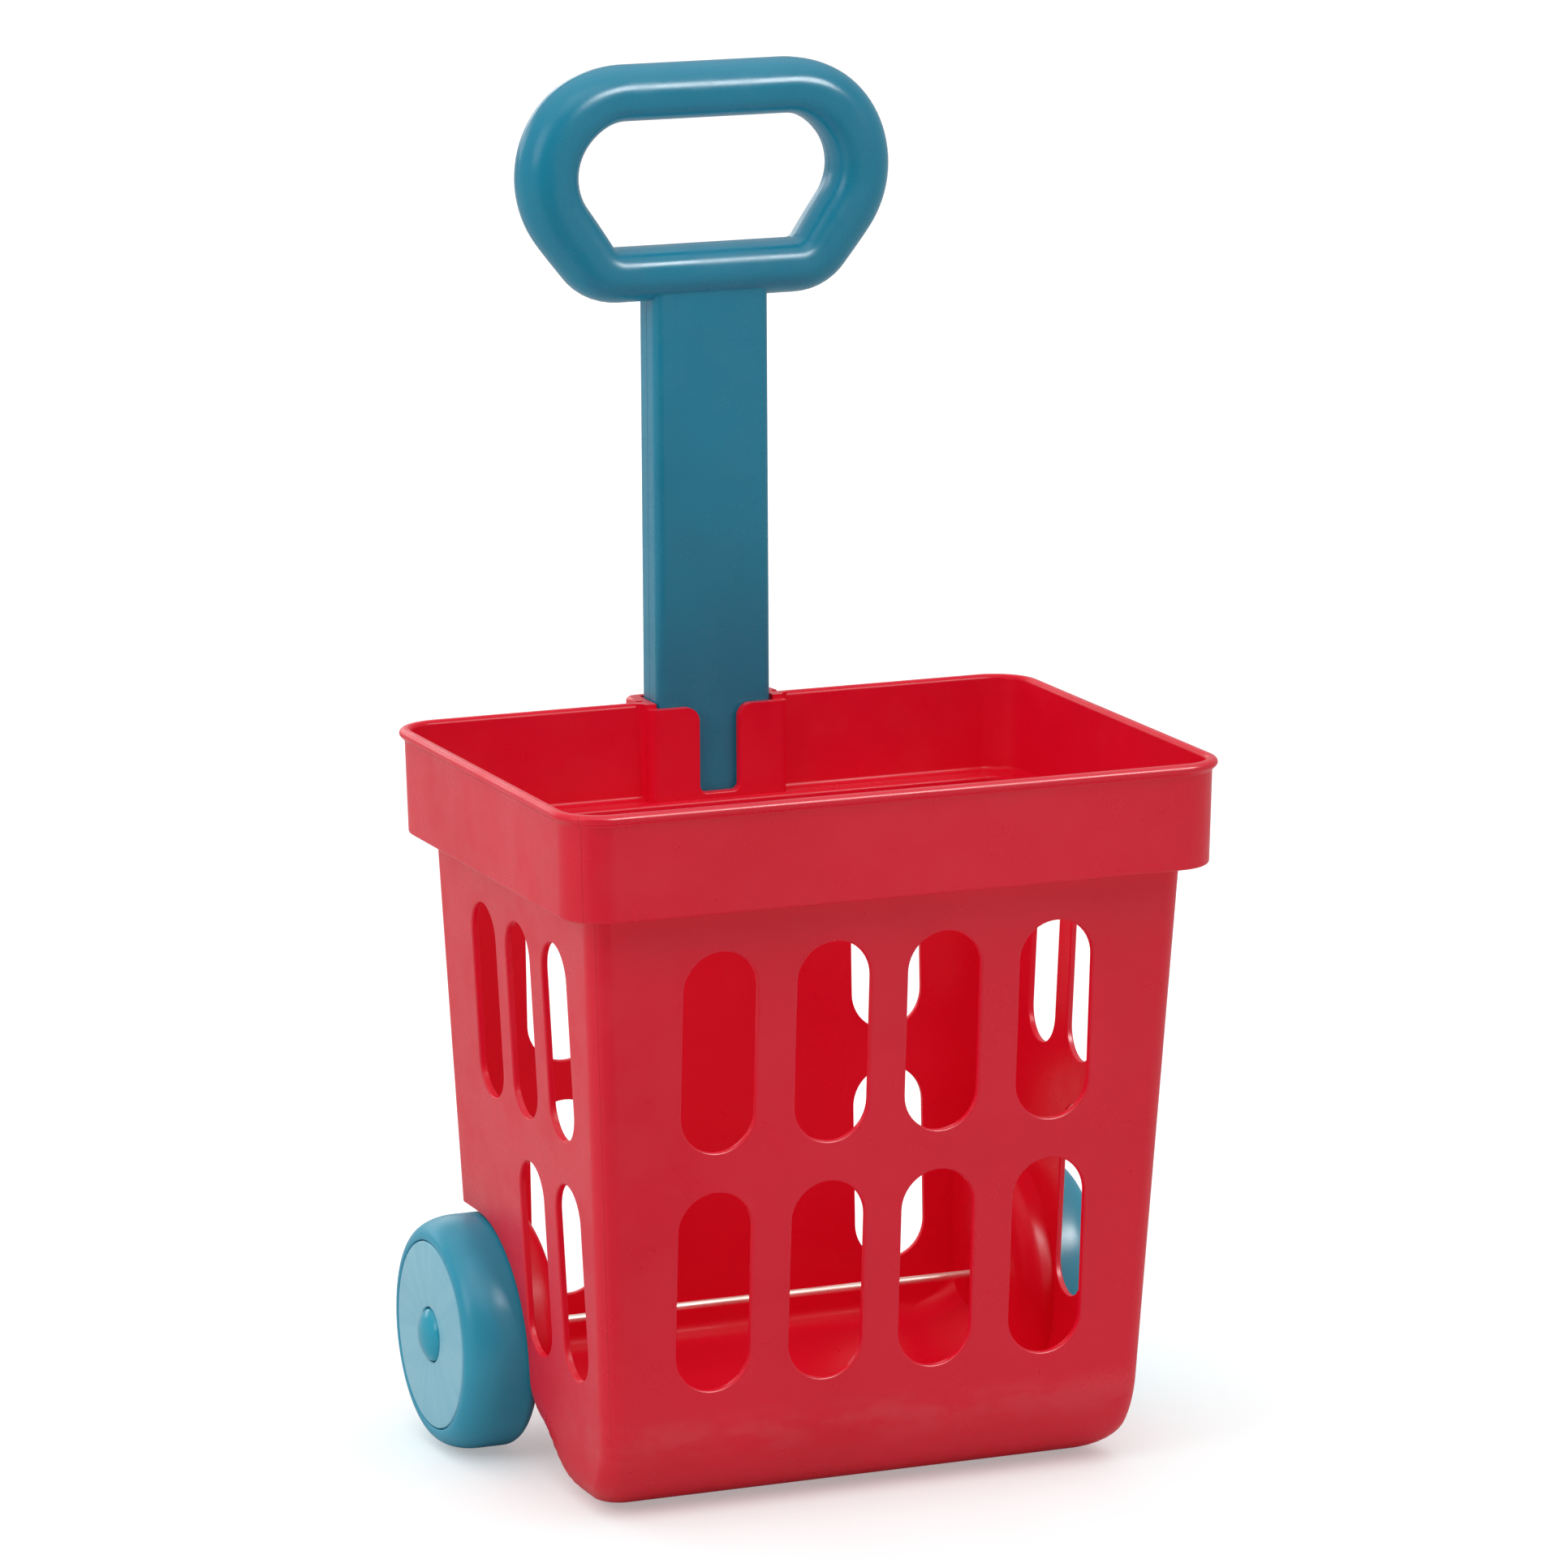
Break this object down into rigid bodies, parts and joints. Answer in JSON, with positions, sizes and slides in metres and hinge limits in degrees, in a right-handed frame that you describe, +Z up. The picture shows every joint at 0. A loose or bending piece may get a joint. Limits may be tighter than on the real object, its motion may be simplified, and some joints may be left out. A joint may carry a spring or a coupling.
{
  "type": "toy rolling shopping basket",
  "caption": "Small moulded plastic shopping basket on wheels with slotted sides, a wide rim band and a pull-out handle that slides in a channel on the back.",
  "frame": {"origin": "on the floor, on the flat foot of the basket, under the centre of the rim", "axes": "+Z up, -Y the front of the basket, +Y the handle side, +X to the right seen from the front"},
  "size_m": [0.2586, 0.203, 0.4994],
  "materials": {
    "basket_red": "satin moulded red plastic, fine scuffs",
    "handle_teal": "satin moulded blue-green plastic",
    "plug_teal": "moulded plastic",
    "screw_zinc": "bright zinc plate",
    "axle_steel": "bright drawn steel wire",
    "cap_teal": "glossy moulded blue-green plastic",
    "tread_teal": "satin moulded blue-green plastic",
    "disc_teal": "satin moulded blue-green plastic with faint flow lines"
  },
  "bodies": {
    "basket": {"basket": "basket_red"},
    "handle": {"handle_front_shell": "handle_teal", "handle_rear_shell": "handle_teal", "handle_end_plug": "plug_teal", "handle_screw_lower": "screw_zinc", "handle_screw_middle": "screw_zinc", "handle_screw_left": "screw_zinc", "handle_screw_right": "screw_zinc"},
    "axle": {"axle_rod": "axle_steel", "axle_washer_left": "axle_steel", "axle_washer_right": "axle_steel", "hub_cap_left": "cap_teal", "hub_cap_right": "cap_teal"},
    "wheel_left": {"wheel_tread_left": "tread_teal", "wheel_face_left": "disc_teal"},
    "wheel_right": {"wheel_tread_right": "tread_teal", "wheel_face_right": "disc_teal"}
  },
  "joints": [
    {"name": "handle_slide", "type": "slide", "parent": "basket", "child": "handle", "axis": [0, 0, 1], "range_m": [-0.145, 0]},
    {"name": "axle_spin", "type": "hinge", "parent": "basket", "child": "axle", "pos_m": [0, 0.055, 0.0432], "axis": [1, 0, 0], "continuous": true},
    {"name": "wheel_left_spin", "type": "hinge", "parent": "basket", "child": "wheel_left", "pos_m": [-0.112, 0.055, 0.0432], "axis": [1, 0, 0], "continuous": true},
    {"name": "wheel_right_spin", "type": "hinge", "parent": "basket", "child": "wheel_right", "pos_m": [0.112, 0.055, 0.0432], "axis": [1, 0, 0], "continuous": true}
  ]
}
